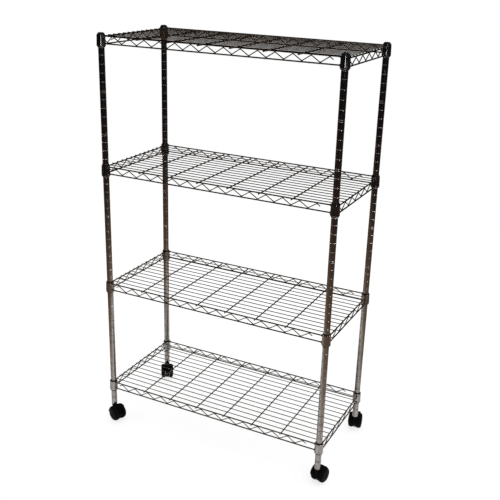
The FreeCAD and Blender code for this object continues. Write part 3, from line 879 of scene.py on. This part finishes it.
# %% [markdown]
# The beads' places are read from the wires: deck wires are evenly spaced, and a zigzag
# touches a rim wherever it turns. Spots scattered over the wires would be less work, but
# a weld is only ever at a crossing.

# %% Weld beads on the shelves
SHELVES = ("bottom", "lower", "upper", "top")
RIM_R = 0.002
DECK_COUNT, CROSS_COUNT = 13, 6
SAME_HEIGHT = 0.0003  # points this near to the highest or lowest belong to a turn
NEXT_TURN = 0.01  # a longer gap along the rim starts another turn
NEAR_RIM = 0.004


def spaced(low, high, count):
    """Middles of a row of evenly spaced wires that fills a box's side."""
    return [low + (high - low) * step / (count - 1) for step in range(count)]


def turns_of(points, axis, top):
    """Where a zigzag turns: the middle of each group of its highest or lowest points."""
    heights = [point.z for point in points]
    edge = max(heights) if top else min(heights)
    near = sorted(point[axis] for point in points if abs(point.z - edge) < SAME_HEIGHT)
    groups, group = [], near[:1]
    for place in near[1:]:
        if place - group[-1] > NEXT_TURN:
            groups.append(group)
            group = []
        group.append(place)
    groups.append(group)
    return edge, [(group[0] + group[-1]) / 2 for group in groups]


def zigzag_spots(shelf, side_x, front_y):
    """The turns of a shelf's truss wires, on all four sides, at both rims."""
    spots = []
    zigzag = [vertex.co.copy() for vertex in nodes[shelf + "_shelf_truss_wires"].data.vertices]
    for axis, other, reach in ((0, 1, front_y), (1, 0, side_x)):
        for sign in (-1, 1):
            line = [point for point in zigzag if abs(point[other] - sign * reach) < NEAR_RIM]
            for top in (False, True):
                edge, places = turns_of(line, axis, top)
                for place in places:
                    spot = Vector((0, 0, edge))
                    spot[axis], spot[other] = place, sign * reach
                    spots.append(spot)
    return spots


bead_count = 0
for shelf in SHELVES:
    deck_low, deck_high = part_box(shelf + "_shelf_deck_wires")
    cross_low, cross_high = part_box(shelf + "_shelf_cross_wires")
    rim_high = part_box(shelf + "_shelf_rim_wires")[1]
    deck_r, cross_r = (deck_high.z - deck_low.z) / 2, (cross_high.z - cross_low.z) / 2
    deck_y = spaced(deck_low.y + deck_r, deck_high.y - deck_r, DECK_COUNT)
    cross_x = spaced(cross_low.x + cross_r, cross_high.x - cross_r, CROSS_COUNT)
    side_x, front_y = rim_high.x - RIM_R, rim_high.y - RIM_R
    spots = [Vector((x, y, deck_low.z)) for x in (*cross_x, -side_x, side_x) for y in deck_y]
    spots += [Vector((x, y, cross_high.z)) for x in cross_x for y in (-front_y, front_y)]
    spots += zigzag_spots(shelf, side_x, front_y)
    bead_count += len(spots)
    placed(bead, shelf + "_shelf_beads", [Matrix.Translation(spot) for spot in spots], "frame", "wire_chrome")
drop(bead)
print("beads:", bead_count)

# %% [markdown]
# ## Fillets
# Where a rim wire ends on a collar, the weld leaves a small collar of its own round the
# wire. It is a short cylinder, narrower on the wire's side and slightly uneven round its
# edge, with its other end sunk into the collar. A lofted blend would be smoother than real welds are.

# %% Fillet
FILLET_R, FILLET_LONG, FILLET_EDGE = 0.0034, 0.0028, 0.0004
FILLET_TAPER, FILLET_SWELL = 0.72, 1.07

deselect()
bpy.ops.mesh.primitive_cylinder_add(vertices=14, radius=FILLET_R, depth=FILLET_LONG)
fillet = bpy.context.object
bpy.ops.object.mode_set(mode="EDIT")
pick(fillet, lambda centre, normal: normal.z > 0.9)
bpy.ops.transform.resize(value=(FILLET_TAPER, FILLET_TAPER, 1.0))
rounded(FILLET_EDGE, 2)
pick(fillet, lambda centre, normal: abs(normal.z) < 0.5)
bpy.ops.mesh.select_nth(skip=1, nth=1)
bpy.ops.transform.resize(value=(FILLET_SWELL, FILLET_SWELL, 1.0))
shaped(fillet, smooth_angle=60.0)
print("fillet:", len(fillet.data.polygons), "faces")

# %% [markdown]
# Each corner has four wire ends: an upper and a lower rim wire from either side. A
# fillet's middle lies just off the collar's round, on the wire's own line, so its place
# follows from the collar's radius and from how far that line passes from the post.

# %% Fillets on the collars
COLLAR_R = 0.0133
RIM_GAP = 0.021  # between the upper and the lower rim wire
STAND_OFF = 0.0004  # from the collar's round to a fillet's middle

fillet_count = 0
for shelf in SHELVES:
    rim_low, rim_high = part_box(shelf + "_shelf_rim_wires")
    side_x, front_y = rim_high.x - RIM_R, rim_high.y - RIM_R
    front_z = (rim_high.z - RIM_R, rim_high.z - RIM_R - RIM_GAP)
    side_z = (rim_low.z + RIM_R, rim_low.z + RIM_R + RIM_GAP)
    places = []
    for corner in CORNERS:
        low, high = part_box("post_" + corner)
        post = (low + high) / 2
        sx, sy = math.copysign(1, post.x), math.copysign(1, post.y)
        off = front_y - abs(post.y)
        reach = math.sqrt(COLLAR_R ** 2 - off ** 2) + STAND_OFF
        along_x = Matrix.Rotation(-sx * math.radians(90), 4, "Y")
        along_y = Matrix.Rotation(sy * math.radians(90), 4, "X")
        places += [Matrix.Translation((post.x - sx * reach, sy * front_y, z)) @ along_x for z in front_z]
        places += [Matrix.Translation((sx * side_x, post.y - sy * reach, z)) @ along_y for z in side_z]
    fillet_count += len(places)
    placed(fillet, shelf + "_shelf_fillets", places, "frame", "wire_chrome")
drop(fillet)
print("fillets:", fillet_count)
